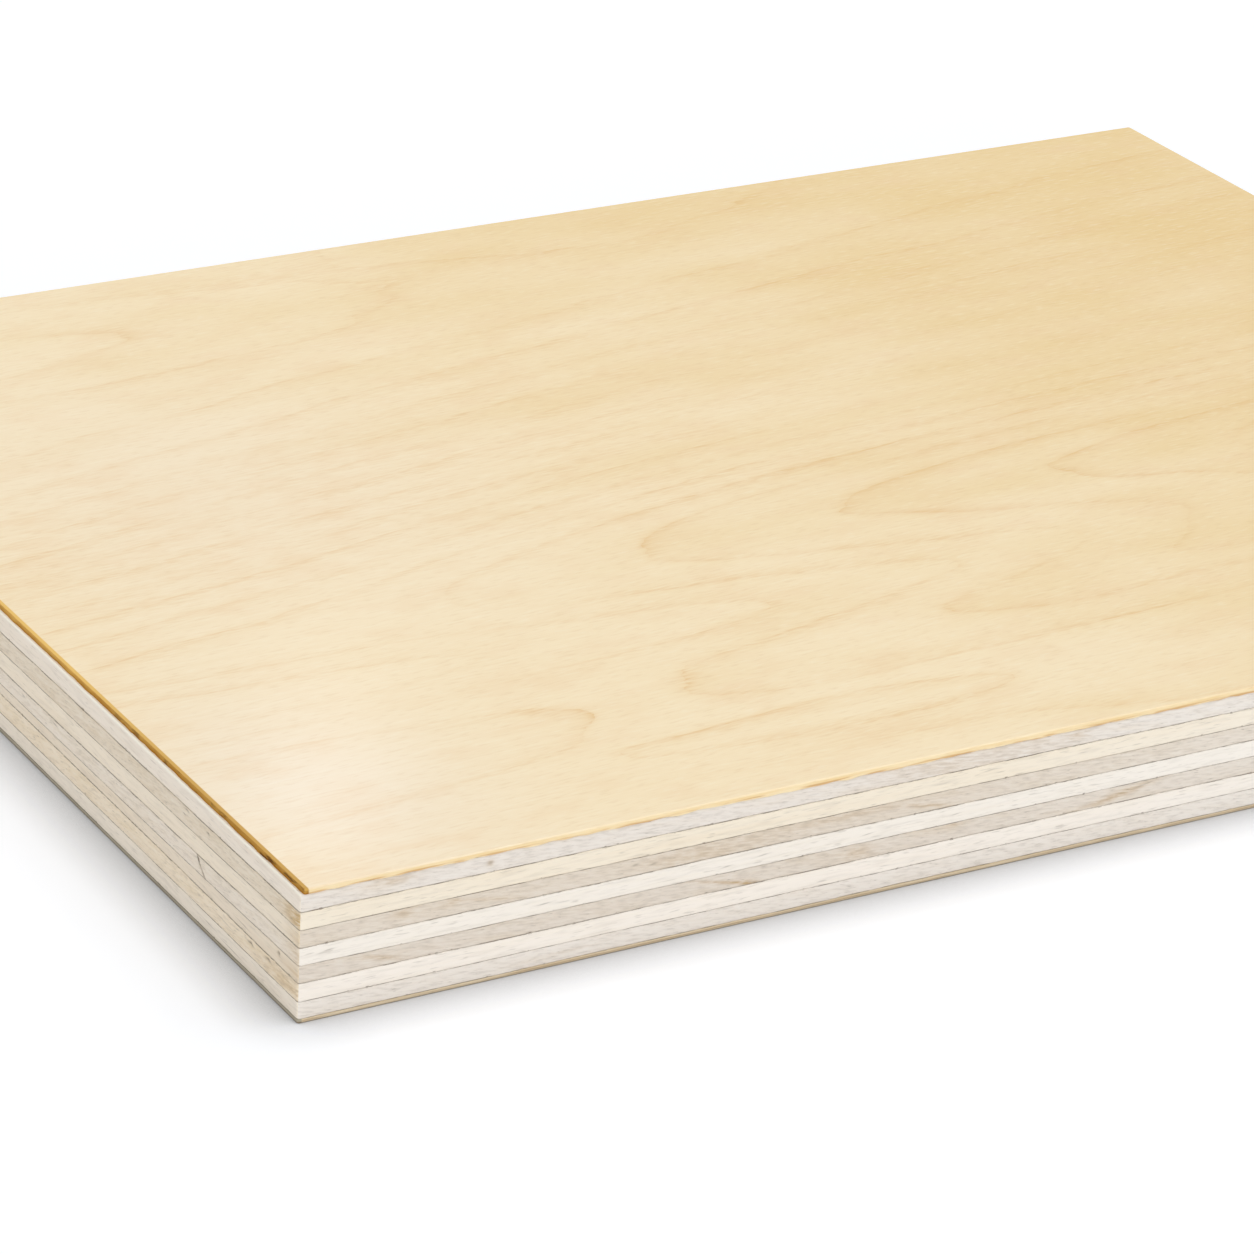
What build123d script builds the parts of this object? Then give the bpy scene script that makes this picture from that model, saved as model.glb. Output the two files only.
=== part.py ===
from build123d import *

import os

# A cut panel of veneer-core plywood, lying flat with its face veneer up. The panel is a stack
# of veneers glued flat on each other, each with its grain square to the grain of its
# neighbours. Thick core plies make up the body, and a thin, finer veneer covers each side.
# X runs along the grain of the face, Y across it, and Z up through the thickness. The origin
# is the middle of the underside.

# Driving dimensions, in millimetres
panel_length = 250.0  # along the grain of the face
panel_width = 190.0  # across the grain of the face
face_thickness = 0.70  # the sanded face veneer, on top
back_thickness = 0.55  # the back veneer, underneath
cross_ply_thickness = 2.35  # each core ply with its grain across the panel
long_ply_thickness = 2.45  # each core ply with its grain along the panel
core_ply_count = 7  # odd, so that the core starts and ends on a cross ply
face_end_setback = 0.35  # how far the saw has broken the face veneer back from the left end
arris_radius = 0.20  # the sanded rounding of the panel's upper and lower edges
arris_limit_share = 0.8  # the most of a veneer's thickness that its rounding may take


def ply(thickness, underside, left_setback=0.0):
    """One flat veneer of the panel's outline, held back from the left end by left_setback."""
    sheet = Box(
        panel_length - left_setback,
        panel_width,
        thickness,
        align=(Align.CENTER, Align.CENTER, Align.MIN),
    )
    return Pos(left_setback / 2, 0, underside) * sheet


def ease_arris(edges, thickness):
    """Rounds the outer edges of an outer veneer, by no more than the veneer can take."""
    return fillet(edges, min(arris_radius, arris_limit_share * thickness))


def back_veneer():
    """The lowest ply, with the edges that meet the floor rounded."""
    sheet = ply(back_thickness, 0)
    lower_edges = sheet.edges().group_by(Axis.Z)[0]
    return ease_arris(lower_edges, back_thickness)


def face_veneer(underside):
    """The top ply, short of the left end, with its upper edges rounded."""
    sheet = ply(face_thickness, underside, face_end_setback)
    upper_edges = sheet.edges().group_by(Axis.Z)[-1]
    return ease_arris(upper_edges, face_thickness)


def core_thickness(number):
    """Core plies count from the face down: odd ones run across the panel, even ones along it."""
    return cross_ply_thickness if number % 2 else long_ply_thickness


def panel():
    """Every ply of the panel by name, stacked from the underside up."""
    plies = {"back_veneer": back_veneer()}
    height = back_thickness
    for number in range(core_ply_count, 0, -1):
        thickness = core_thickness(number)
        plies[f"core_ply_{number}"] = ply(thickness, height)
        height += thickness
    plies["face_veneer"] = face_veneer(height)
    return plies


os.makedirs("parts", exist_ok=True)
for name, solid in panel().items():
    export_step(solid, f"parts/{name}.step")
    box = solid.bounding_box()
    print(f"{name}: {box.size.X:.2f} x {box.size.Y:.2f} x {box.size.Z:.2f} mm, from z {box.min.Z:.2f}")
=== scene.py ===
# %% [markdown]
# # A sawn plywood panel, ply by ply
# The object is an offcut of 18 mm plywood, lying flat. Nine veneers are glued on each other with
# their grain crossed, so two finishes take turns all round the edge: end grain, where the saw cut
# through the fibres, and long grain, where it ran along them. This lesson cuts each ply as a slab
# of its own, roughens its sawn sides, and then builds the wood out of shader maths.
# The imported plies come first. They give every size that is used below.

import math

import bmesh
import bpy
from mathutils import Matrix, Vector, noise


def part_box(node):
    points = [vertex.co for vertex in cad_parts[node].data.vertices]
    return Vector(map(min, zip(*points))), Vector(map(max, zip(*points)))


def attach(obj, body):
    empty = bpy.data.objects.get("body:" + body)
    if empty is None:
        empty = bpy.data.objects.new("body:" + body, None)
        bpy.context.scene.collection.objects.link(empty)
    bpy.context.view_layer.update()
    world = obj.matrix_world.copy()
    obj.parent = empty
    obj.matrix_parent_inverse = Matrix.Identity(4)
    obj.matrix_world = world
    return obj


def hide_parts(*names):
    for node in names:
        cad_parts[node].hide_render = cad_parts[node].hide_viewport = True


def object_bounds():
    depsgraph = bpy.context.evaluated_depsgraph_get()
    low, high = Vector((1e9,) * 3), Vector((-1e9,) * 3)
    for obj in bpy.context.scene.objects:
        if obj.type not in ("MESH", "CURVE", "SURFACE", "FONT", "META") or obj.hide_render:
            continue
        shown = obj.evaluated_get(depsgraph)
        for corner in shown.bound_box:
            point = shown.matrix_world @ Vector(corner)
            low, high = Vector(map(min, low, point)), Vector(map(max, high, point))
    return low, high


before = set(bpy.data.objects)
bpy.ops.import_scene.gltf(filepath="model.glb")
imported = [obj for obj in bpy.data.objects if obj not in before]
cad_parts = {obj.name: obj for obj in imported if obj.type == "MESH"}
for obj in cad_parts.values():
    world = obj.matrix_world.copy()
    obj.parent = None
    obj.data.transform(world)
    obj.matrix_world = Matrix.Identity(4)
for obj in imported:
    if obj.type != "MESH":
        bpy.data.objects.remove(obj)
cad_low, cad_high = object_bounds()
MM = 0.001

stack = sorted(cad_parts, key=lambda node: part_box(node)[0].z, reverse=True)
for node in stack:
    low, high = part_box(node)
    print(f"{node}: {(high.z - low.z) / MM:.2f} mm thick, from {low.z / MM:.2f} mm up")

# %% [markdown]
# ## Where the glue lines run
# A peeled veneer is never quite even, so the glue lines of a real panel wander by a few tenths of
# a millimetre. They could be drawn as stripes in a material, but then no ply would have a shape of
# its own. Here each glue line is a height that depends on the place, and the plies above and below
# both ask for it, so they always meet. On the left end the lines sink away from the near corner,
# and the fifth core ply grows thin. The line under the face veneer is also torn in small waves.

# %% Heights of the glue lines
flat_glue = [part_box(node)[0].z for node in stack[:-1]]
glue_drift = [0.0, -0.42 * MM, -0.64 * MM, -0.90 * MM, -0.68 * MM, 0.24 * MM, -0.04 * MM, 0.0]
drift_reach = 95 * MM
wander_height = 0.07 * MM
wander_length = 26 * MM
wander_shift = 5.0
torn_height = 0.18 * MM
torn_length = 2.0 * MM
untorn_share = 0.5


def glue_height(line, place):
    """Height of a glue line, counted from the face down, at a place on the panel."""
    share = min(1.0, (place.y - cad_low.y) / drift_reach)
    drift = glue_drift[line] * math.sin(share * math.pi / 2)
    spot = Vector((place.x, place.y, 0))
    wander = wander_height * noise.noise(spot / wander_length + Vector((0, 0, wander_shift * line)))
    torn = 0
    if line == 0:
        from_left = (place.x - cad_low.x) / torn_length - untorn_share
        torn = torn_height * min(1.0, max(0.0, from_left)) * noise.noise(spot / torn_length)
    return flat_glue[line] + drift + wander + torn


def ply_top(number, place):
    return cad_high.z if number == 0 else glue_height(number - 1, place)


def ply_underside(number, place):
    return cad_low.z if number == len(stack) - 1 else glue_height(number, place)


near_corner = Vector((cad_low.x, cad_low.y, 0))
corner_heights = [glue_height(line, near_corner) / MM for line in range(len(flat_glue))]
print("glue lines at the near corner, in mm:", [round(height, 2) for height in corner_heights])

# %% [markdown]
# ## A slab with finely cut sides
# Only the rim of a core ply is ever seen, so the mesh should be fine there and coarse inside. A
# plain cube that is subdivided all over would waste its faces on hidden glue. Instead a coarse
# grid is extruded to a slab, its upright corners are bevelled, and then only the edges that run
# round the rim are cut, once along and once up. Blender closes the coarse cells beside them.

# %% Cutting a slab
cell = 2.5 * MM
cuts_along = 9
corner_radius = 0.40 * MM
corner_segments = 4
upright_share = 0.9
cap_share = 0.999
crease_turn = 1.0
same_height = 0.01 * MM


def raw_slab(low, high):
    """A closed slab of coarse cells between two corners."""
    bm = bmesh.new()
    size = high - low
    bmesh.ops.create_grid(bm, x_segments=round(size.x / cell), y_segments=round(size.y / cell), size=0.5)
    bmesh.ops.scale(bm, vec=(size.x, size.y, 1), verts=bm.verts)
    bmesh.ops.translate(bm, vec=((low.x + high.x) / 2, (low.y + high.y) / 2, low.z), verts=bm.verts)
    raised = bmesh.ops.extrude_face_region(bm, geom=bm.faces[:])["geom"]
    raised = [part for part in raised if isinstance(part, bmesh.types.BMVert)]
    bmesh.ops.translate(bm, vec=(0, 0, size.z), verts=raised)
    bmesh.ops.recalc_face_normals(bm, faces=bm.faces[:])
    bm.normal_update()
    return bm


def is_upright(edge):
    a, b = (vert.co for vert in edge.verts)
    return abs(a.z - b.z) > upright_share * (a - b).length


def is_cap(face):
    return abs(face.normal.z) > cap_share


def round_edges(bm, edges, radius, segments):
    bmesh.ops.bevel(
        bm, geom=edges, offset=radius, offset_type="OFFSET", affect="EDGES",
        segments=segments, profile=0.5, material=-1, clamp_overlap=True,
    )
    bm.normal_update()


def start_ply(node):
    """A slab as large as a packed ply, with its four upright corners eased."""
    low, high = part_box(node)
    bm = raw_slab(low, high)
    corners = [e for e in bm.edges if is_upright(e) and e.calc_face_angle() > crease_turn]
    round_edges(bm, corners, corner_radius, corner_segments)
    return bm, low, high


def cut_sides(bm, cuts_up):
    """Cuts the rim of a slab along and up, and leaves its caps coarse."""
    rim = dict.fromkeys(e for f in bm.faces if not is_cap(f) for e in f.edges)
    level = [e for e in rim if abs(e.verts[0].co.z - e.verts[1].co.z) < same_height]
    level = [e for e in level if not is_upright(e) and e.calc_length() > cell / 2]
    bmesh.ops.subdivide_edges(bm, edges=level, cuts=cuts_along, use_grid_fill=True)
    upright = [e for e in bm.edges if is_upright(e)]
    bmesh.ops.subdivide_edges(bm, edges=upright, cuts=cuts_up, use_grid_fill=True)
    bm.normal_update()


print(f"a rim is cut every {cell / (cuts_along + 1) / MM:.2f} mm")

# %% [markdown]
# ## What the saw leaves
# A saw cut through plywood isn't flat. The glue lines open into hair-thin grooves that come and
# go, the crossed plies stand a few hundredths of a millimetre apart, and the teeth leave faint
# upright ripples. Here and there a fibre was torn out and left a small hole. These could all be
# bump, but the grooves catch real shadow when they are in the mesh, so every vertex of the rim is
# pushed in by a depth that the next functions work out. The first core ply also has a small
# chamfer, because the ledge under the broken end of the face veneer was rubbed off there.

# %% Relief of a sawn side
groove_depth = 0.10 * MM
groove_reach = 0.11 * MM
groove_patch = 3.5 * MM
fine_patch = groove_patch / 6
groove_shift = 9.0
fine_shift = 4.0
least_open = 0.12
usual_open = 0.55
lower_side_factor = 2.0
step_depth = 0.035 * MM
ripple_depth = 0.012 * MM
ripple_pitch = 1.1 * MM
ripple_rise = 0.25
core_side_turn = 0.1
gap_name = "glue_gap"
ledge_chamfer = 0.20 * MM
pits = [
    (Vector((cad_low.x, -89.5 * MM, 6.9 * MM)), 0.28 * MM, 0.35 * MM),
    (Vector((cad_low.x, -70.0 * MM, 13.9 * MM)), 0.25 * MM, 0.12 * MM),
    (Vector((cad_low.x, -64.0 * MM, 14.3 * MM)), 0.25 * MM, 0.12 * MM),
    (Vector((cad_low.x, -82.2 * MM, 4.7 * MM)), 0.35 * MM, 0.15 * MM),
    (Vector((cad_low.x, -86.9 * MM, 4.8 * MM)), 0.35 * MM, 0.15 * MM),
]


def groove_open(place, line):
    """How far a glue line stands open at a place, from 0 to 1: it closes in patches."""
    patch = noise.noise(place / groove_patch + Vector((0, 0, groove_shift * line)))
    fine = noise.noise(place / fine_patch + Vector((fine_shift, 0, groove_shift * line)))
    return min(1.0, max(least_open, usual_open + 0.9 * patch + 0.5 * fine))


def glue_gap(number, share, tall):
    """How far a point of a ply's side is from a glue line that shows, and which line that is.

    A line reaches less far into the ply below it, so the gap to the line above counts for more."""
    above = (1 - share) * tall * lower_side_factor if number > 1 else tall
    below = share * tall
    return (above, number - 1) if above < below else (below, number)


def sawn_depth(place, number, share, tall):
    """How deep a point of a ply's sawn side lies, by its share of the ply's height."""
    gap, line = glue_gap(number, share, tall)
    groove = groove_depth * max(0.0, 1 - gap / groove_reach) * groove_open(place, line)
    pit = sum(deep * math.exp(-((place - middle).length / wide) ** 2) for middle, wide, deep in pits)
    chamfer = max(0.0, ledge_chamfer - (1 - share) * tall) if number == 1 else 0
    step = step_depth * (number % 2)
    ripple = noise.noise(Vector((place.x, place.y, ripple_rise * place.z)) / ripple_pitch)
    return groove + pit + chamfer + step + ripple_depth * (1 + ripple)


def shape_core(bm, number, flat_low, flat_high):
    """Bends a flat slab between its two glue lines and sinks its sides."""
    layer = bm.verts.layers.float.new(gap_name)
    for vert in bm.verts:
        flat_share = (vert.co.z - flat_low.z) / (flat_high.z - flat_low.z)
        share = 0.5 - 0.5 * math.cos(flat_share * math.pi)
        under, top = ply_underside(number, vert.co), ply_top(number, vert.co)
        outward = Vector((vert.normal.x, vert.normal.y, 0))
        vert.co.z = under + share * (top - under)
        vert[layer] = glue_gap(number, share, top - under)[0] / MM
        if outward.length > core_side_turn:
            vert.co -= outward.normalized() * sawn_depth(vert.co, number, share, top - under)
    bm.normal_update()


print(f"{len(pits)} small holes, up to {max(deep for middle, wide, deep in pits) / MM:.2f} mm deep")

# %% [markdown]
# ## From bmesh to a named piece
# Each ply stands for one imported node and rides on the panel's only body. Its faces are shaded
# smooth, with sharp edges only where the rim meets the hidden caps. Sides that face along the
# ply's own fibres are end grain, and the others are long grain, so a piece can have two finishes,
# and the function choose says which one a face takes.

# %% Making pieces
sharp_turn = math.radians(50)


def make_piece(bm, node, finishes, choose):
    """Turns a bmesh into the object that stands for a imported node."""
    for face in bm.faces:
        face.smooth = not is_cap(face)
        face.material_index = choose(face)
    for edge in bm.edges:
        edge.smooth = edge.calc_face_angle(0) < sharp_turn
    mesh = bpy.data.meshes.new(f"{node}_cut")
    bm.to_mesh(mesh)
    bm.free()
    piece = bpy.data.objects.new(f"{node}_cut", mesh)
    bpy.context.scene.collection.objects.link(piece)
    for finish in finishes:
        mesh.materials.append(finish)
    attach(piece, "root")
    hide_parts(node)
    triangles = sum(len(polygon.vertices) - 2 for polygon in mesh.polygons)
    print(f"{piece.name}: {len(mesh.vertices)} vertices, {triangles} triangles")


print(f"edges that turn by more than {math.degrees(sharp_turn):.0f} degrees stay sharp")

# %% [markdown]
# ## Shader maths as Python
# A wood finish is a long sum: rings plus wobble plus flecks. Wiring that by hand takes a screen
# full of Math nodes. One small class wraps a socket, so that Python's own signs add the Math nodes
# and a formula stays a formula. Its node method adds any other node.

# %% A socket with arithmetic


class Wire:
    """One output of a node. Arithmetic on it adds Math nodes, and node() adds any other."""

    def __init__(self, socket):
        self.socket = socket
        self.tree = socket.id_data

    def node(self, kind, settings, inputs, output=0):
        made = self.tree.nodes.new(kind)
        for name, value in settings.items():
            if name == "stops":
                for element, (position, colour) in zip(made.color_ramp.elements, value):
                    element.position = position
                    element.color = colour
            else:
                setattr(made, name, value)
        for key, value in inputs.items():
            if isinstance(value, Wire):
                self.tree.links.new(value.socket, made.inputs[key])
            else:
                made.inputs[key].default_value = value
        return Wire(made.outputs[output])

    def math(self, operation, *values):
        return self.node("ShaderNodeMath", {"operation": operation}, dict(enumerate(values)))

    def __add__(self, other):
        return self.math("ADD", self, other)

    def __sub__(self, other):
        return self.math("SUBTRACT", self, other)

    def __rsub__(self, other):
        return self.math("SUBTRACT", other, self)

    def __mul__(self, other):
        return self.math("MULTIPLY", self, other)

    def __truediv__(self, other):
        return self.math("DIVIDE", self, other)

    def __rtruediv__(self, other):
        return self.math("DIVIDE", other, self)

    def __pow__(self, other):
        return self.math("POWER", self, other)

    def __rpow__(self, other):
        return self.math("POWER", other, self)

    def __neg__(self):
        return self.math("MULTIPLY", self, -1.0)

    def __abs__(self):
        return self.math("ABSOLUTE", self)

    __radd__ = __add__
    __rmul__ = __mul__

    def exp(self):
        return self.math("EXPONENT", self)

    def floor(self):
        return self.math("FLOOR", self)

    def at_least(self, other):
        return self.math("MAXIMUM", self, other)

    def smooth_max(self, other, blend):
        return self.math("SMOOTH_MAX", self, other, blend)

    def smooth_min(self, other, blend):
        return self.math("SMOOTH_MIN", self, other, blend)

    def between(self, start, end):
        """0 below start and 1 above end, eased."""
        inputs = {"Value": self, "From Min": start, "From Max": end}
        return self.node("ShaderNodeMapRange", {"interpolation_type": "SMOOTHSTEP"}, inputs)

    def mix(self, first, second):
        """A colour that goes from first to second as this value goes from 0 to 1."""
        inputs = {0: self, 6: first, 7: second}
        return self.node("ShaderNodeMix", {"data_type": "RGBA", "clamp_factor": True}, inputs, 2)


def srgb(red, green, blue):
    """A picked colour, 0 to 255, as the linear colour that nodes use."""
    shares = (value / 255 for value in (red, green, blue))
    return tuple(s / 12.92 if s <= 0.04045 else ((s + 0.055) / 1.055) ** 2.4 for s in shares) + (1.0,)


print("a middle grey of 128 is", round(srgb(128, 128, 128)[0], 3), "as a linear colour")

# %% [markdown]
# ## Starting a finish
# Every finish below reads Object coordinates. They are turned into millimetres first, so that the
# numbers in a pattern are sizes on the real wood. A grain pattern is ordinary noise on stretched
# coordinates: squeezing the coordinate along the fibres draws the pattern out into streaks.

# %% Coordinates and grain noise
grain_roughness = 0.55
bump_depth = 0.05 * MM


def new_finish(name):
    """A new material, its shader, and its coordinates in millimetres."""
    finish = bpy.data.materials.new(name)
    finish.use_nodes = True
    shader = finish.node_tree.nodes["Principled BSDF"]
    metres = Wire(finish.node_tree.nodes.new("ShaderNodeTexCoord").outputs["Object"])
    inputs = {0: metres, "Scale": 1 / MM}
    return finish, shader, metres.node("ShaderNodeVectorMath", {"operation": "SCALE"}, inputs)


def axes(place):
    """The three coordinates of a place as values."""
    first = place.node("ShaderNodeSeparateXYZ", {}, {0: place})
    return [Wire(output) for output in first.socket.node.outputs]


def grain(place, lengths, detail=2.0, shift=0.0):
    """Noise, 0 to 1, whose blots are about as long as the three lengths in millimetres."""
    squeeze = tuple(1 / value for value in lengths)
    inputs = {0: place, 1: squeeze, 2: (shift, shift, shift)}
    stretched = place.node("ShaderNodeVectorMath", {"operation": "MULTIPLY_ADD"}, inputs)
    inputs = {"Vector": stretched, "Scale": 1.0, "Detail": detail, "Roughness": grain_roughness}
    return place.node("ShaderNodeTexNoise", {}, inputs)


def bump(height, strength):
    """Fibres too fine for the mesh, as a tilt of the normal."""
    inputs = {"Strength": strength, "Distance": bump_depth, "Height": height}
    return height.node("ShaderNodeBump", {}, inputs)


def connect(shader, **inputs):
    """Links or sets the shader's own sockets, whose names are written with underscores."""
    for name, value in inputs.items():
        socket = shader.inputs[name.replace("_", " ")]
        if isinstance(value, Wire):
            value.tree.links.new(value.socket, socket)
        else:
            socket.default_value = value


print(f"bump stands for fibres up to {bump_depth / MM:.2f} mm deep")

# %% [markdown]
# ## The rings of the face veneer
# A veneer that is peeled off a log slices through wavy growth rings, and where the knife skims a
# wave the rings show as nested arches. That is just what contour lines do on a map. So the figure
# is a landscape: a slope whose contours are the straight grain, with long folds and low hills
# pressed into it. Each whole number of its height is one ring. Places are in millimetres.

# %% A landscape of rings
grain_slope = 0.135
grain_bend = 0.0002
ring_pitch = 6.2
pitch_growth = 0.006
slope_start = 13.0
slope_blend = 12.0
first_ring = 0.25
top_ring = 11.35
top_blend = 5.0
front_start = 66.0
front_blend = 2.0
front_pitch = 30
fold_onset = 0.2
fold_limit = 6.0
folds = [
    ((-81, -24), 33.5, 19, -1.0, 0.0),
    ((65, -46), -75, 8, 1.0, 0.0),
    ((-68, -66), 45, 11, -1.0, 0.13),
    ((-52, -69), -50, 11, -1.0, 0.05),
    ((-12, -90), 50, 7, -1.0, 0.0),
    ((-10, 73), -43, 13, 1.0, 0.0),
]
hills = [
    ((-62, -67), (7, 9), 0.25),
    ((-41, -80), (30, 4.5), -1.44),
    ((15, 97), (40, 21), 0.9),
]


def hill(x, y, centre, reach, rise):
    """A low rise, or with a negative rise a hollow."""
    along = (x - centre[0]) / reach[0]
    across = (y - centre[1]) / reach[1]
    return rise * (-(along * along + across * across)).exp()


def fold(x, y, start, run, half, rise, lean):
    """A trough or ridge that starts at a point and grows by rise over every run along the grain."""
    along = ((x - start[0]) / run).smooth_max(0.0, fold_onset).smooth_min(fold_limit, fold_onset)
    across = (y - start[1] - (x - start[0]) * lean) / half
    return rise * along * (-(across * across)).exp()


def ring_height(x, y):
    """The landscape of the face: straight grain in the middle, arches in front and at the far left."""
    rise = y - x * grain_slope + x * x * grain_bend
    slope = (rise + slope_start).smooth_max(0.0, slope_blend) / (x * pitch_growth + ring_pitch)
    height = slope.smooth_min(top_ring, top_blend) + first_ring
    height = height + (-y - front_start).smooth_max(0.0, front_blend) / front_pitch
    for shape in folds:
        height = height + fold(x, y, *shape)
    for shape in hills:
        height = height + hill(x, y, *shape)
    return height


print(f"the ring landscape has {len(folds)} folds and {len(hills)} hills")

# %% [markdown]
# ## The lines of the rings
# Each ring is a thin tan line, sharp on its upper side and fading on the lower one, and no two are
# equally dark. A line at a whole height would grow broad where the landscape is nearly level, at
# the tops of the arches, so its width is divided by the steepness of the ground. A white noise
# that is fed the ring's whole number gives every ring a strength of its own. In the straight grain
# at the right the rings nearly vanish, and a few more places hush them or bring them out.

# %% Ring lines
line_fade = 2.6
line_core = 0.9
line_edge = 0.6
slope_step = 0.5
least_steep = 0.05
half_ring_share = 0.4
dash_lean = 0.06
quiet_and_sheen_spots = [
    ((-62, -27), (22, 12), 0.60),
    ((-85, -48), (34, 9), 0.50),
    # Painted sheen: this hush near the front left corner stands for the sheen of the varnish, which
    # washes the rings out.
    ((-104, -70), (26, 22), 0.55),
    ((-70, -92), (60, 8), 0.85),
    ((-70, 90), (40, 8), 0.50),
    ((20, -43), (28, 7), 0.70),
    ((-75, 20), (40, 20), 0.38),
    ((-24, 74), (12, 7), 0.30),
]
loud_spots = [
    ((30, -22), (32, 13), 0.90),
    ((-3, -25), (20, 13), 0.70),
    ((-37, -24), (16, 10), 0.80),
    ((-10, -63), (20, 8), 0.50),
    ((-66, -68), (18, 9), 0.60),
    ((-40, -80), (32, 6), 0.30),
    ((-64, 76), (18, 8), 0.90),
    ((80, 46), (40, 4), 0.80),
]


def leaning(place, slope):
    """The same place with its y sheared, so that a pattern on it climbs along the grain."""
    x, y, z = axes(place)
    return place.node("ShaderNodeCombineXYZ", {}, {0: x, 1: y - x * slope, 2: z})


def steepness(x, y, height):
    """How many rings the landscape climbs in a millimetre, found by a small step along and across."""
    along = (ring_height(x + slope_step, y) - height) / slope_step
    across = (ring_height(x, y + slope_step) - height) / slope_step
    return ((along * along + across * across) ** 0.5).at_least(least_steep)


def contour(height, steep):
    """The lines at the whole numbers of a height, equally wide wherever the ground is steep."""
    level = height.floor()
    phase = height - level
    own = height.node("ShaderNodeTexWhiteNoise", {"noise_dimensions": "1D"}, {"W": level + 0.5})
    fade = ((phase - 1.0) / (steep * line_fade)).exp()
    edge = ((phase - 1.0) / (steep * line_core)).exp() + (phase / (steep * -line_edge)).exp()
    return (fade * 0.45 + edge * 0.55) * (own * 0.35 + 0.65)


def ring_quiet(x, y, height):
    """How far the rings are hushed at a place. A negative value brings them out."""
    quiet = x.between(-45, 25) * height.between(0.8, 2.5) * (1.0 - height.between(8.0, 9.5)) * 0.65
    for spot in quiet_and_sheen_spots:
        quiet = quiet + hill(x, y, *spot)
    for spot in loud_spots:
        quiet = quiet - hill(x, y, *spot)
    return quiet


def ring_lines(place):
    """How dark the growth rings are at a place on the face, from 0 to about 1."""
    x, y, _ = axes(place)
    smooth = ring_height(x, y)
    steep = steepness(x, y, smooth)
    broad_wobble = (grain(place, (40, 9, 30), 1.0) - 0.5) * 0.45
    fine_wobble = (grain(place, (7, 1.4, 9), 1.0) - 0.5) * 0.08
    height = smooth + (broad_wobble + fine_wobble)
    quiet = ring_quiet(x, y, height)
    loud = (-quiet).at_least(0.0)
    shown = (1.0 - quiet).at_least(0.0)
    patchy = grain(place, (24, 5, 20), 1.0, 7.0).between(0.30, 0.65)
    dashes = grain(leaning(place, dash_lean), (3.6, 0.5, 3.0), 1.0, 3.0).between(0.42, 0.60)
    unbroken = dashes * (0.65 - loud * 0.6) + 0.42 + loud * 0.4
    half_rings = height.between(2.5, 4.0) * (1.0 - height.between(8.5, 10.0)) * half_ring_share
    lines = contour(height, steep) + contour(height * 2.0 + 0.4, steep * 2.0) * half_rings
    return lines * shown * (patchy * 0.6 + 0.4) * unbroken


print(f"rings are hushed in {len(quiet_and_sheen_spots)} places and brought out in {len(loud_spots)}")

# %% [markdown]
# ## Varnish on the cut edge
# The varnish soaked deeper into the cut edge of the face veneer than into its flat side: it is
# golden along the front, and deep amber with burnt spots on the two ends. The edge could be a
# second material, but its border would then follow the mesh. Instead one finish reads how far a
# point lies below the face, and how near to an end, and blends the edge in softly.

# %% Edge of the face veneer
face_top = cad_high.z / MM
amber_from = cad_high.x / MM - 1.2
near_side = cad_low.y / MM
pale_gold = srgb(252, 231, 188)
deep_gold = srgb(240, 202, 134)
front_line = srgb(200, 148, 90)
light_amber = srgb(238, 194, 104)
dark_amber_and_shade = srgb(172, 112, 12)
near_amber = srgb(164, 108, 0)
burnt_spot = srgb(88, 48, 0)


def edge_gold(place, below):
    """The golden side of the face veneer, darker towards its glue line, and where it shows."""
    x, y, _ = axes(place)
    patch = grain(place, (6, 6, 0.5), 2.0, 8.0)
    band = ((patch - 0.5) * 1.6 + 0.3).mix(pale_gold, deep_gold)
    front = (below.between(0.38, 0.62) * patch.between(0.40, 0.60) * 0.7).mix(band, front_line)
    spots = grain(place, (3.6, 3.6, 0.6), 2.0, 21.0).between(0.52, 0.66)
    near = 1.0 - y.between(near_side + 20, near_side + 75)
    # Darker towards the foot of the end: partly the amber's own depth and partly painted shade where the
    # end stands over the ledge.
    amber = (below * 1.9 - 0.35 + (patch - 0.5) * 0.9).mix(light_amber, dark_amber_and_shade)
    deep = (near * 0.45).mix(amber, near_amber)
    low_down = below.between(0.15, 0.40)
    spotted = (spots * low_down * (near * 0.8 + 0.1)).mix(deep, burnt_spot)
    left_end = (-x).between(amber_from, amber_from + 0.2)
    right_end = x.between(amber_from + 0.5, amber_from + 0.65)
    shown = below.between(0.05, 0.26) + left_end + right_end * below.between(0.01, 0.10)
    return (left_end + right_end).mix(front, spotted), shown


print(f"amber shows from {amber_from:.1f} mm out on the two ends")

# %% [markdown]
# ## The face finish
# Under the rings the sheet drifts from cream to gold, with fine streaks along the grain, a soft blush,
# short dark pores and pale glints between them. The drift is partly the wood's own tone and partly
# painted sheen, the sheet being paler towards the near-left corner. Near the left end the sheet is paler
# still in two places: by the front corner a painted highlight, the sheen of the varnish, and further
# back a broad pale patch. The varnish is a thin coat with a gloss of its own, which the bare edge lacks.

# %% Face veneer finish
cream = srgb(255, 235, 197)
gold_wood = srgb(239, 207, 140)
sheen_and_pale_cream = srgb(253, 238, 216)
streak_tan = srgb(231, 198, 138)
blush_tan = srgb(240, 202, 152)
ring_tan = srgb(223, 167, 62)
pore_brown = srgb(206, 158, 80)
glint_cream = srgb(255, 243, 217)
# The first spot is a painted highlight, the sheen of the varnish by the front corner; the second is a
# broad pale patch.
sheen_and_pale_spots = [
    ((-113, -72), (21, 28), 0.95),
    ((-84, 14), (38, 42), 0.5),
]
streak_lean = 0.06


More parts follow.
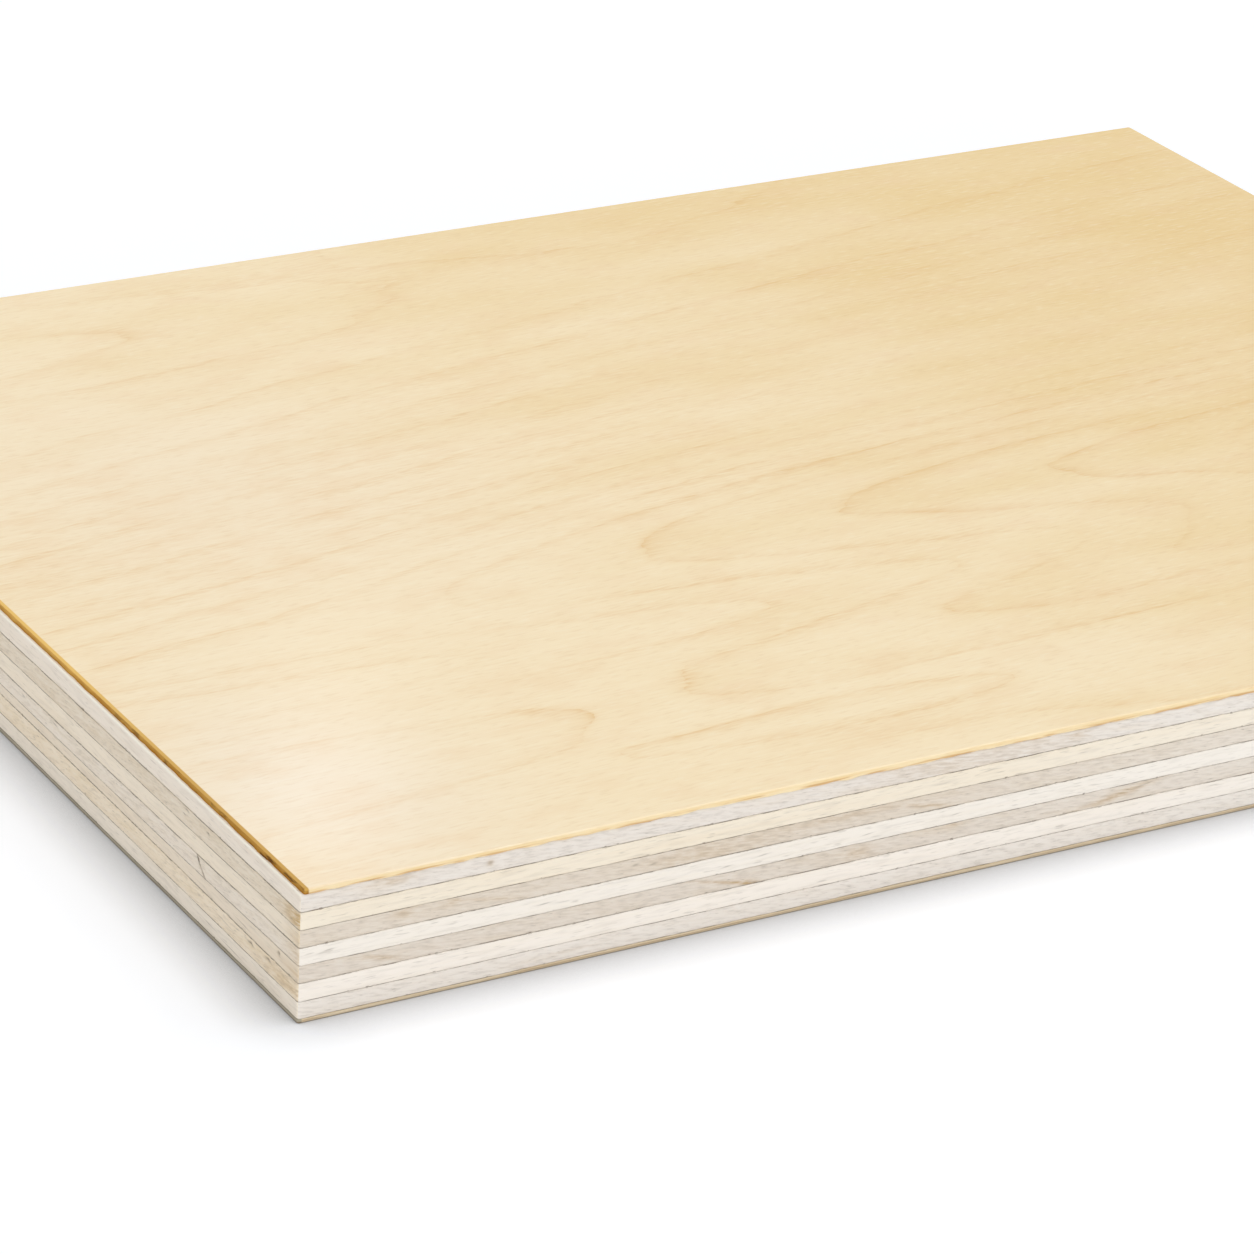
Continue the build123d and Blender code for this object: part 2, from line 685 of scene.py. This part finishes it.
def face_finish():
    finish, shader, place = new_finish("varnished_face")
    x, y, z = axes(place)
    along = leaning(place, streak_lean)
    streak = grain(along, (14, 0.8, 20), 2.0, 5.0)
    cloud = grain(along, (34, 12, 30), 1.0, 2.0)
    blush = grain(along, (9, 5, 30), 1.0, 27.0)
    pores = grain(along, (2.6, 0.42, 3.0), 1.0, 11.0)
    # Partly painted sheen: the drift to gold towards the far right is partly the wood's tone and partly
    # a sheen fading from the near-left corner.
    gold = (x * 0.0036 + y * 0.0016 + 0.40 + (cloud - 0.5) * 0.8).between(0.0, 1.1)
    tone_and_sheen = gold.mix(cream, gold_wood)
    # Painted highlight and a pale patch: the sheet turns paler at the two spots.
    sheen_and_pale = sum(hill(x, y, *spot) for spot in sheen_and_pale_spots).mix(tone_and_sheen, sheen_and_pale_cream)
    streaked = ((streak - 0.5) * 0.25 + 0.15).mix(sheen_and_pale, streak_tan)
    blushed = ((blush - 0.5) * 0.85).mix(streaked, blush_tan)
    ringed = (ring_lines(place) * 0.41).mix(blushed, ring_tan)
    flecked = (pores.between(0.54, 0.74) * 0.13).mix(ringed, pore_brown)
    colour = (pores.between(0.46, 0.26) * 0.22).mix(flecked, glint_cream)
    edge_colour, edge = edge_gold(place, face_top - z)
    connect(
        shader,
        Base_Color=edge.mix(colour, edge_colour),
        Roughness=streak * 0.14 + 0.40 + edge * 0.3,
        Coat_Weight=0.25 - edge * 0.25,
        Coat_Roughness=0.14,
        Normal=bump(streak, 0.04),
    )
    return finish


print(f"the face is paler in {len(sheen_and_pale_spots)} worn places")

# %% [markdown]
# ## Cutting the face veneer
# The face veneer is the one ply whose flat side shows. Its upper edges were sanded round, and the
# saw broke its left end back to a ragged, slanting line, so that end is sunk by coarse noise, and
# more so at its top. The other sides of a veneer are nearly clean.

# %% Face veneer
arris_radius = 0.20 * MM
arris_segments = 3
veneer_cuts_up = 3
veneer_side_turn = 0.3
ragged_depth = 0.12 * MM
ragged_slant = 0.42 * MM
ragged_patch = 1.8 * MM
ragged_fade = 3


def level_rim(bm, height):
    """The sharp edges of a slab that lie at one height."""
    level = [e for e in bm.edges if all(abs(v.co.z - height) < same_height for v in e.verts)]
    return [e for e in level if e.calc_face_angle(0) > crease_turn]


def clean_depth(place, outward, share):
    """How deep a point of a veneer's clean side lies."""
    return ripple_depth * (1 + noise.noise(place / ripple_pitch))


def broken_depth(place, outward, share):
    """How deep a point of the face veneer's side lies, where only the left end is broken."""
    facing_left = max(0.0, -outward.x) ** ragged_fade
    broken = ragged_depth * (1 + noise.noise(place / ragged_patch)) + ragged_slant * share
    return clean_depth(place, outward, share) + facing_left * broken


def cut_veneer(number, outer_height, depth_at, finish):
    """One of the two outer plies: its outer edges are rounded and its sides sunk by depth_at."""
    node = stack[number]
    bm, low, high = start_ply(node)
    round_edges(bm, level_rim(bm, outer_height), arris_radius, arris_segments)
    cut_sides(bm, veneer_cuts_up)
    for vert in bm.verts:
        outward = Vector((vert.normal.x, vert.normal.y, 0))
        share = (vert.co.z - low.z) / (high.z - low.z)
        under, top = ply_underside(number, vert.co), ply_top(number, vert.co)
        vert.co.z = under + share * (top - under)
        if outward.length > veneer_side_turn:
            outward.normalize()
            vert.co -= outward * depth_at(vert.co, outward, share)
    bm.normal_update()
    make_piece(bm, node, [finish], lambda face: 0)


cut_veneer(0, cad_high.z, broken_depth, face_finish())

# %% [markdown]
# ## Glue in the core's edge
# A dark glue line stains the wood on both of its sides. The core finishes find it through the gap
# to the glue, in millimetres, that every vertex carries. The stain comes and goes in patches, and
# here and there a dot of glue has oozed further out. A level surface, such as the narrow ledge
# under the broken end of the face veneer, has no such stain, so the normal rules it out.

# %% Glue stain
level_turn = (0.5, 0.9)


def glue_stain(place, reach, patch, least):
    """How dark the glue is, where patch is the length of its dark stretches and least its least."""
    gap = place.node("ShaderNodeAttribute", {"attribute_name": gap_name}, {}, 2)
    normal = place.node("ShaderNodeNewGeometry", {}, {}, "True Normal")
    upright = 1.0 - abs(axes(normal)[2]).between(*level_turn)
    broken = grain(place, (patch, patch, 1.2), 2.0, 31.0).between(0.32, 0.62)
    dots = grain(place, (1.0, 1.0, 1.2), 1.0, 37.0).between(0.64, 0.74)
    line = (1.0 - gap.between(0.0, reach)) * (broken * (1.0 - least) + least)
    blob = (1.0 - gap.between(reach * 0.6, reach * 1.8)) * dots * 0.7
    return line.at_least(blob) * upright


print(f"the finishes read the gap to the glue from the attribute {gap_name}")

# %% [markdown]
# ## End grain
# End grain shows cut fibre ends: greyer and mottled, with short slanting flecks where the knife that
# peeled the veneer left fine checks, and with a growth ring crossing the ply here and there as a tan
# streak. Stains and scars sit at chosen places, each a soft blot with a slope; the scars at the small
# holes and along the crack of the left end are painted shade in those hollows. Towards the right the
# light wood of the front edge grows a little brighter.

# %% End grain finish
glue_brown = srgb(98, 80, 60)
grey_flecks = srgb(150, 138, 124)
pale_wood = srgb(255, 252, 246)
fibre_slope = 0.10
brighter_from = -50
brighter_to = 40
brighter_share = 0.22


def slanting(place, along, slope):
    """The same place with its height sheared, so that a pattern on it runs up at a slope."""
    x, y, z = axes(place)
    return place.node("ShaderNodeCombineXYZ", {}, {0: x, 1: y, 2: z + along * slope})


def add_marks(z, along, marks):
    """Stains at chosen places: middle along and up, reach along and up, slope, and strength."""
    amount = z * 0.0
    for middle, height, reach, tall, slope, strength in marks:
        level = z - (along - middle) * slope
        amount = amount + hill(along, level, (middle, height), (reach, tall), strength)
    return amount


def brighten(x, colour):
    return (x.between(brighter_from, brighter_to) * brighter_share).mix(colour, pale_wood)


def end_grain_finish(name, tones, along_x, marks, scars_and_shade, glue):
    """Cut fibre ends. along_x says whether the sawn side runs along X."""
    finish, shader, place = new_finish(name)
    tone, tan, mark = tones
    x, y, z = axes(place)
    along = x if along_x else y
    slanted = slanting(place, along, fibre_slope)
    mottle = grain(slanted, (9, 9, 1.1), 2.0, 1.0)
    fibre = grain(slanted, (1.8, 1.8, 0.30), 3.0, 13.0)
    check = grain(slanted, (1.2, 1.2, 0.16), 1.0, 17.0).between(0.64, 0.78)
    body = ((mottle - 0.45) * 1.2).mix(tone, tan)
    stained = (add_marks(z, along, marks) * (fibre.between(0.30, 0.62) * 0.65 + 0.35)).mix(body, mark)
    # Scars: dark marks, and painted shade in the small holes and along the crack of the left end.
    scarred_and_shaded = add_marks(z, along, scars_and_shade).mix(stained, glue_brown)
    pale = ((0.5 - fibre) * 0.9).mix(scarred_and_shaded, pale_wood)
    grey = ((fibre - 0.5) * 1.1 + check * 0.40).mix(brighten(x, pale), grey_flecks)
    connect(
        shader,
        Base_Color=glue_stain(place, *glue).mix(grey, glue_brown),
        Roughness=mottle * 0.15 + 0.62,
        Specular_IOR_Level=0.3,
        Normal=bump(fibre, 0.25),
    )
    return finish


print(f"fibre ends slant by {math.degrees(math.atan(fibre_slope)):.1f} degrees")

# %% [markdown]
# ## Long grain
# Where the saw ran along the fibres the side is paler and smoother, with long streaks, a faint haze and
# a few grey dashes. Just below the face the finish turns to a lighter tone at the height of the first
# ply's ledge: a painted highlight on the ledge and the top of the side, where they face up into the
# light.

# %% Long grain finish
ledge_highlight = srgb(255, 247, 231)
ledge_height = flat_glue[0] / MM


def fibres(long, thin, along_x):
    """The three lengths of a blot that lies along the fibres of a sawn side."""
    return (long, thin, thin) if along_x else (thin, long, thin)


def long_grain_finish(name, tones, along_x, marks, scars_and_shade, glue):
    """Fibres that run along the sawn side."""
    finish, shader, place = new_finish(name)
    tone, streak_tone, mark = tones
    x, y, z = axes(place)
    along = x if along_x else y
    streak = grain(place, fibres(30, 0.4, along_x), 3.0, 1.0)
    cloud = grain(place, (16, 16, 2), 1.0, 6.0)
    dash = grain(place, fibres(2.4, 0.22, along_x), 1.0, 19.0).between(0.60, 0.76)
    haze = grain(place, (4.5, 4.5, 0.5), 2.0, 23.0)
    body = ((streak - 0.45) * 0.9 + (cloud - 0.5) * 0.9).mix(tone, streak_tone)
    stained = (add_marks(z, along, marks) * (streak.between(0.30, 0.62) * 0.65 + 0.35)).mix(body, mark)
    # Scars: dark marks, and painted shade in the small holes and along the crack of the left end.
    scarred_and_shaded = add_marks(z, along, scars_and_shade).mix(stained, glue_brown)
    hazy = ((haze - 0.48) * 0.6).mix(brighten(x, scarred_and_shaded), grey_flecks)
    dashed = (dash * 0.28).mix(hazy, grey_flecks)
    # Painted highlight on the first ply's ledge and the top of its side.
    with_ledge_highlight = z.between(ledge_height - 0.34, ledge_height - 0.14).mix(dashed, ledge_highlight)
    connect(
        shader,
        Base_Color=glue_stain(place, *glue).mix(with_ledge_highlight, glue_brown),
        Roughness=streak * 0.15 + 0.55,
        Specular_IOR_Level=0.3,
        Normal=bump(streak, 0.2),
    )
    return finish


print(f"the ledge lies {ledge_height:.2f} mm up")

# %% [markdown]
# ## Tones and stains of the core plies
# The seven core plies differ in little but their tone and stains, so two finishes serve them all.
# Odd plies have their grain across the panel, which makes the front edge their end grain. The tones were
# picked ply by ply: the front edge is cool and clean, and the left end is warmer. A mark is a tan stain
# and a scar a dark one, each given as its middle along the side and up, its reach along and up, all in
# millimetres, then its slope and its strength.

# %% Tones and marks of the core plies
front_glue = (0.15, 2.5, 0.42)
left_glue = (0.17, 6.0, 0.80)
front_mark = srgb(196, 164, 118)
left_mark = srgb(203, 168, 110)
front_tones = {
    1: (srgb(237, 228, 218), srgb(235, 219, 197)),
    2: (srgb(248, 236, 216), srgb(243, 226, 200)),
    3: (srgb(228, 215, 199), srgb(215, 197, 172)),
    4: (srgb(250, 242, 231), srgb(244, 233, 216)),
    5: (srgb(228, 216, 202), srgb(216, 197, 171)),
    6: (srgb(253, 244, 233), srgb(248, 236, 219)),
    7: (srgb(243, 234, 224), srgb(235, 222, 206)),
}
left_tones = {
    1: (srgb(246, 234, 218), srgb(237, 220, 197)),
    2: (srgb(234, 219, 197), srgb(222, 200, 168)),
    3: (srgb(247, 233, 212), srgb(239, 221, 192)),
    4: (srgb(241, 228, 211), srgb(229, 211, 184)),
    5: (srgb(242, 227, 206), srgb(232, 212, 183)),
    6: (srgb(248, 231, 206), srgb(234, 212, 172)),
    7: (srgb(252, 240, 223), srgb(242, 226, 205)),
}
front_marks = {
    1: [
        (-112.5, 16.6, 3.0, 0.6, 0.0, 0.45), (-99.4, 16.2, 0.5, 0.4, 0.0, 0.5),
        (-14.0, 16.4, 2.2, 0.6, 0.0, 0.4), (-36.0, 16.1, 9.0, 2.0, 0.0, 0.22),
        (-22.0, 16.1, 9.0, 2.0, 0.0, 0.22),
    ],
    3: [
        (-111.0, 12.0, 1.5, 0.6, 0.0, 0.4), (-104.6, 12.0, 1.5, 0.6, 0.0, 0.4),
        (-100.0, 11.4, 4.5, 0.2, -0.17, 0.35), (-68.0, 11.3, 10.0, 1.4, 0.0, 0.30),
        (-48.0, 12.0, 9.0, 0.5, 0.0, 0.35), (-36.0, 10.9, 3.2, 0.3, -0.2, 0.6),
    ],
    5: [
        (-114.2, 6.6, 3.2, 0.35, -0.23, 0.5), (-65.6, 6.3, 4.8, 0.22, -0.23, 0.7),
        (-62.5, 5.7, 1.8, 0.4, -0.2, 0.6), (-46.5, 6.5, 2.2, 0.9, 0.0, 0.4),
        (-32.5, 7.4, 1.5, 0.3, 0.0, 0.5), (-6.6, 6.5, 6.0, 0.55, 0.18, 0.8),
    ],
    7: [(-90.0, 1.6, 6.0, 0.3, 0.04, 0.2)],
}
left_marks = {
    2: [(-95.0, 13.8, 4.0, 1.5, 0.0, 1.0)],
    3: [(-95.0, 11.3, 3.0, 1.5, 0.0, 0.4)],
    4: [(-95.0, 9.0, 3.0, 1.5, 0.0, 0.4)],
    5: [(-95.0, 6.5, 4.0, 1.0, 0.0, 0.5)],
    6: [(-92.0, 4.0, 7.0, 1.2, 0.0, 0.5)],
}
front_scars = {
    1: [(-99.4, 16.2, 0.35, 0.2, 0.0, 0.35)],
    3: [(-79.0, 11.6, 0.5, 0.15, 0.2, 0.3), (-76.5, 11.2, 0.5, 0.12, 0.2, 0.3)],
    4: [
        (-121.0, 9.2, 0.7, 0.08, 0.05, 0.5), (-91.7, 9.0, 0.9, 0.08, 0.05, 0.5),
        (-65.8, 8.6, 0.7, 0.08, 0.1, 0.4), (-60.6, 9.1, 0.8, 0.08, 0.1, 0.4),
        (-45.2, 8.8, 0.8, 0.07, 0.1, 0.4), (-32.0, 8.9, 0.7, 0.07, 0.1, 0.4),
    ],
    5: [(-61.5, 5.5, 0.8, 0.12, -0.2, 0.35), (-3.0, 7.1, 1.5, 0.1, 0.18, 0.35)],
}
# The first two scars of plies 2 and 6, the first of ply 5 and the first two of ply 4 are painted shade,
# in the small holes and along the crack; the rest are dark marks.
left_scars_and_shade = {
    2: [
        (-64.1, 14.4, 0.5, 0.15, 0.1, 0.6), (-70.0, 13.9, 0.4, 0.15, 0.1, 0.7),
        (-63.4, 13.6, 0.4, 0.1, 0.1, 0.5),
    ],
    4: [
        (-67.4, 9.3, 0.42, 0.22, 1.3, 0.8), (-68.7, 8.1, 1.0, 0.17, 0.8, 0.7),
        (-25.0, 8.8, 0.7, 0.1, 0.1, 0.5), (-15.0, 8.6, 0.5, 0.1, 0.1, 0.5),
    ],
    5: [(-89.5, 6.9, 0.35, 0.25, 0.0, 0.7), (-80.0, 6.2, 2.0, 0.08, 0.05, 0.35)],
    6: [
        (-82.2, 4.7, 0.8, 0.15, 0.1, 0.7), (-86.9, 4.8, 0.7, 0.15, 0.1, 0.6),
        (-75.0, 4.2, 2.5, 0.08, 0.06, 0.35),
    ],
    7: [(-77.0, 1.3, 3.0, 0.08, 0.03, 0.4), (-71.0, 1.8, 2.0, 0.07, 0.05, 0.3)],
}


def core_finishes(number):
    """End grain and long grain for one core ply: odd plies turn their end grain to the front."""
    marks, scars_and_shade = front_marks.get(number, ()), front_scars.get(number, ())
    front = (*front_tones[number], front_mark), True, marks, scars_and_shade, front_glue
    marks, scars_and_shade = left_marks.get(number, ()), left_scars_and_shade.get(number, ())
    left = (*left_tones[number], left_mark), False, marks, scars_and_shade, left_glue
    end, side = (front, left) if number % 2 else (left, front)
    return [
        end_grain_finish(f"ply_{number}_end_grain", *end),
        long_grain_finish(f"ply_{number}_long_grain", *side),
    ]


stain_count = sum(len(rows) for table in (front_marks, left_marks) for rows in table.values())
scar_and_shade_count = sum(len(rows) for table in (front_scars, left_scars_and_shade) for rows in table.values())
print(f"{stain_count} stains and {scar_and_shade_count} scars on the core")

# %% [markdown]
# ## A crack in the left end
# One ply of the left end has split: a crack runs down through the middle ply, steep at first and then
# slanting. It could be a dark line in the material, but a real gap is dark by itself; even so, two scars
# of that ply's end grain finish paint shade along it. Three cuts with bisect_plane along each stretch
# lay a strip of new vertices on the side, and the middle row of them is pushed into the wood.

# %% Crack
cracked_ply = 4
crack_route = [(-67.1 * MM, 1.0), (-67.8 * MM, 0.6), (-69.6 * MM, 0.0)]
crack_width = 0.28 * MM
crack_depth = 0.60 * MM
crack_reach = 3 * MM
left_turn = -0.9
on_plane = 0.001 * MM
weld = 0.0001 * MM


def faces_beside(bm, top, bottom):
    """The faces of the left end beside one stretch of the crack."""
    left_end = [(f, f.calc_center_median()) for f in bm.faces if f.normal.x < left_turn]
    level = [(f, middle) for f, middle in left_end if bottom.z < middle.z < top.z]
    return [f for f, middle in level if abs(middle.y - top.y) < crack_reach]


def open_crack(bm, low, high):
    """Splits the left end of a flat slab along crack_route, given as places along and up."""
    route = [Vector((low.x, y, low.z + share * (high.z - low.z))) for y, share in crack_route]
    for top, bottom in zip(route, route[1:]):
        across = (top - bottom).cross(Vector((1, 0, 0))).normalized()
        for offset in (-crack_width / 2, 0, crack_width / 2):
            faces = faces_beside(bm, top, bottom)
            parts = [part for f in faces for part in (f, *f.edges, *f.verts)]
            parts = list(dict.fromkeys(parts))
            place = top + across * offset
            bmesh.ops.bisect_plane(bm, geom=parts, dist=weld, plane_co=place, plane_no=across)
        bm.normal_update()
        for vert in bm.verts:
            from_top = vert.co - top
            inside = bottom.z - on_plane <= vert.co.z <= top.z + on_plane
            if inside and abs(from_top.x) < on_plane and abs(from_top.dot(across)) < on_plane:
                vert.co.x += crack_depth
    bm.normal_update()


print(f"the crack in {stack[cracked_ply]} is {crack_depth / MM:.2f} mm deep")

# %% [markdown]
# ## Cutting the core plies
# With the relief, the crack and the finishes at hand, one loop cuts all seven core plies. A face
# takes its finish by its place, not by its normal, because the walls of a groove face every way:
# what lies nearer to the front or back edge than to an end belongs to that edge.

# %% Core plies
core_cuts_up = 9


def cut_core_ply(number):
    node = stack[number]
    bm, low, high = start_ply(node)
    cut_sides(bm, core_cuts_up)
    if number == cracked_ply:
        open_crack(bm, low, high)
    shape_core(bm, number, low, high)
    grain_across = number % 2 == 1

    def choose(face):
        middle = face.calc_center_median()
        to_ends = min(middle.x - low.x, high.x - middle.x)
        to_sides = min(middle.y - low.y, high.y - middle.y)
        return 0 if (to_sides < to_ends) == grain_across else 1

    make_piece(bm, node, core_finishes(number), choose)


for number in range(1, len(stack) - 1):
    cut_core_ply(number)

# %% [markdown]
# ## The back veneer
# The back veneer is thin, and from the front it is only a gold line over the floor, with a darker
# line in its middle. Its lower edges are eased like the face's upper ones. Its flat side is plainer
# and browner than the face, but it came off a like log, so it gets the same landscape of rings,
# turned round. A colour ramp gives its base colour, where two mixed colours would do as well.

# %% Back veneer
under_pale = srgb(232, 208, 168)
under_dark = srgb(208, 172, 120)
under_ring = srgb(184, 138, 78)
under_pore = srgb(176, 134, 84)
back_pale = srgb(234, 216, 186)
back_gold = srgb(212, 188, 150)
back_line = srgb(150, 108, 60)
end_pale = srgb(196, 186, 164)
end_grey = srgb(150, 140, 120)
contact_shade_brown = srgb(120, 98, 72)
line_height = 0.32
line_half = 0.09


def underside_colour(place, streak):
    """The flat side of the back veneer."""
    turned = place.node("ShaderNodeVectorMath", {"operation": "MULTIPLY"}, {0: place, 1: (-1, 1, 1)})
    cloud = grain(place, (38, 13, 30), 2.0, 14.0)
    fleck = grain(place, (3.2, 0.5, 3.0), 1.0, 16.0).between(0.54, 0.74)
    tone = streak * 0.9 + (cloud - 0.5) * 1.2 - 0.05
    stops = [(0.0, under_pale), (1.0, under_dark)]
    plain = tone.node("ShaderNodeValToRGB", {"stops": stops}, {"Fac": tone})
    ringed = (ring_lines(turned) * 0.6).mix(plain, under_ring)
    return (fleck * 0.3).mix(ringed, under_pore)


def back_finish():
    finish, shader, place = new_finish("plain_back")
    x, _, z = axes(place)
    streak = grain(place, (40, 1.2, 30), 4.0, 4.0)
    patch = grain(place, (9, 9, 0.3), 3.0, 9.0)
    from_line = (z - line_height) / line_half
    line = (from_line * from_line * -2.0).exp() * patch.between(0.35, 0.6) * 0.5
    gold = (patch * 1.4 - 0.3).mix(back_pale, back_gold)
    grey = (patch * 1.4 - 0.3).mix(end_pale, end_grey)
    on_end = abs(x).between(amber_from + 0.5, amber_from + 0.7)
    # Painted shade: the side is darker at its foot, where the veneer meets the floor, and more so on the
    # ends.
    contact_shade = (1.0 - z.between(0.12, 0.36)) * (on_end * 0.5 + 0.3)
    side = contact_shade.mix(on_end.mix(line.mix(gold, back_line), grey), contact_shade_brown)
    connect(
        shader,
        Base_Color=z.between(0.04, 0.12).mix(underside_colour(place, streak), side),
        Roughness=streak * 0.15 + 0.5,
        Normal=bump(streak, 0.1),
    )
    return finish


cut_veneer(len(stack) - 1, cad_low.z, clean_depth, back_finish())

# %% [markdown]
# ## Lamps
# The panel lies under a broad, soft light from the right, and a second, lower one fills in from
# the front left. An area lamp would fall off over a large floor. A lamp of the Sun kind with a wide
# angle lights it evenly, with shadows that are just as soft.

# %% Lamps
key = {"heading": 95, "elevation": 68, "spread": 60, "strength": 0.98, "tint": (1.0, 0.98, 0.94)}
fill = {"heading": -28, "elevation": 14, "spread": 50, "strength": 1.08, "tint": (1.0, 0.995, 0.98)}


def hang_lamp(name, heading, elevation, spread, strength, tint):
    """A broad, even lamp. Its heading is counted in degrees from the front towards the right."""
    data = bpy.data.lights.new(name, "SUN")
    data.energy = strength
    data.angle = math.radians(spread)
    data.color = tint
    lamp = bpy.data.objects.new(name, data)
    bpy.context.scene.collection.objects.link(lamp)
    turn, tilt = math.radians(heading), math.radians(elevation)
    towards = Vector((math.sin(turn) * math.cos(tilt), -math.cos(turn) * math.cos(tilt), math.sin(tilt)))
    lamp.rotation_euler = towards.to_track_quat("Z", "Y").to_euler()
    print(f"{name}: adds {strength * towards.z / math.pi:.2f} to a level surface")


hang_lamp("key_light", **key)
hang_lamp("fill_light", **fill)

# %% [markdown]
# ## World
# The world fills the shadows with an even, slightly cool light. Seen directly, or in a mirror, it
# should be plain white, and the Light Path node tells such rays from light on its way.

# %% World
sky_level = 0.56
sky_tint = (0.95, 0.98, 1.0, 1.0)
white = (1.0, 1.0, 1.0, 1.0)
direct_rays = ("Is Camera Ray", "Is Glossy Ray", "Is Transmission Ray")


def seen_directly(wire):
    """1 for rays from the camera, from a mirror or through glass, and 0 for light on its way."""
    camera, mirror, glass = (wire.node("ShaderNodeLightPath", {}, {}, ray) for ray in direct_rays)
    return camera.at_least(mirror).at_least(glass)


def fill_world():
    world = bpy.data.worlds.new("white_studio")
    bpy.context.scene.world = world
    world.use_nodes = True
    background = world.node_tree.nodes["Background"]
    seen = seen_directly(Wire(background.outputs[0]))
    level = sky_level + seen * (1 - sky_level)
    connect(background, Color=seen.mix(sky_tint, white), Strength=level)
    print(f"{world.name}: adds {sky_level:.2f} to every surface, and looks white")


fill_world()

# %% [markdown]
# ## Floor
# The floor is a seamless pale sheet. It turns white for the camera by a little light of its own, so
# the shadow on it stays. The panel's pale sides throw so much light back that the thin dark line
# where they touch the floor would wash out, so an Ambient Occlusion node darkens the floor close
# to the panel.

# %% Floor
floor_half = 4.0
floor_cells = 8
floor_drop = 0.02 * MM
floor_white = (0.918, 0.924, 0.955, 1.0)
floor_lift = 0.18
black = (0.0, 0.0, 0.0, 1.0)
contact_reach = 9 * MM
contact_power = 0.62
contact_samples = 4


def lay_floor():
    bm = bmesh.new()
    bmesh.ops.create_grid(bm, x_segments=floor_cells, y_segments=floor_cells, size=floor_half)
    bmesh.ops.translate(bm, vec=(0, 0, cad_low.z - floor_drop), verts=bm.verts)
    mesh = bpy.data.meshes.new("floor")
    bm.to_mesh(mesh)
    bm.free()
    floor = bpy.data.objects.new("floor", mesh)
    bpy.context.scene.collection.objects.link(floor)
    finish, shader, place = new_finish("white_floor")
    settings, inputs = {"samples": contact_samples}, {"Distance": contact_reach}
    open_sky = place.node("ShaderNodeAmbientOcclusion", settings, inputs, "AO") ** contact_power
    connect(
        shader,
        Base_Color=open_sky.mix(black, floor_white),
        Roughness=0.9,
        Specular_IOR_Level=0.0,
        Emission_Color=(seen_directly(place) * open_sky).mix(black, white),
        Emission_Strength=floor_lift,
    )
    mesh.materials.append(finish)
    print(f"floor: {2 * floor_half:.0f} m square")


lay_floor()

# %% [markdown]
# ## Camera
# A long lens from some 0.8 m away shows the near corner, both near edges and most of the face. The
# view's place and angles follow from the panel's own edges and corners in the picture, whose focal
# length is known in pixels, so the lens is worked out from the image's side.

# %% Camera
image_side = 1254
focal_pixels = 5377.4
sensor_width = 36
camera_place = Vector((-384.0, -596.6, 311.76)) * MM
camera_heading = math.radians(31.045)
camera_dip = math.radians(24.554)
camera_roll = math.radians(3.082)


def set_camera():
    data = bpy.data.cameras.new("camera")
    data.sensor_width = sensor_width
    data.lens = focal_pixels / image_side * sensor_width
    data.clip_start = 0.01
    data.clip_end = 50
    camera = bpy.data.objects.new("camera", data)
    bpy.context.scene.collection.objects.link(camera)
    turn = Matrix.Rotation(-camera_heading, 4, "Z") @ Matrix.Rotation(math.pi / 2 - camera_dip, 4, "X")
    camera.matrix_world = Matrix.Translation(camera_place) @ turn @ Matrix.Rotation(camera_roll, 4, "Z")
    bpy.context.scene.camera = camera
    print(f"camera: {data.lens:.0f} mm lens, {camera_place.length:.2f} m from the panel's middle")


set_camera()

# %% [markdown]
# ## The softbox in the varnish
# Near the front corner the varnish mirrors a softbox that stands behind the panel. Its place comes
# from the law of reflection: the line from the camera to that spot, turned upwards at the face. It
# is so weak that it lights nothing else.

# %% Softbox
glint = Vector((-113, -76, 18)) * MM
softbox_distance = 1.5
softbox_side = 0.05
softbox_power = 0.06


def hang_softbox():
    ray = glint - camera_place
    mirrored = Vector((ray.x, ray.y, -ray.z)).normalized()
    data = bpy.data.lights.new("softbox", "AREA")
    data.shape = "RECTANGLE"
    data.size = softbox_side
    data.size_y = softbox_side
    data.energy = softbox_power
    softbox = bpy.data.objects.new("softbox", data)
    bpy.context.scene.collection.objects.link(softbox)
    softbox.location = glint + mirrored * softbox_distance
    softbox.rotation_euler = mirrored.to_track_quat("Z", "Y").to_euler()
    print("softbox at", [round(value, 2) for value in softbox.location], "m")


hang_softbox()

# %% [markdown]
# ## Closing the lesson
# The standard view transform shows colours as they were written.

# %% View transform
bpy.context.scene.view_settings.view_transform = "Standard"
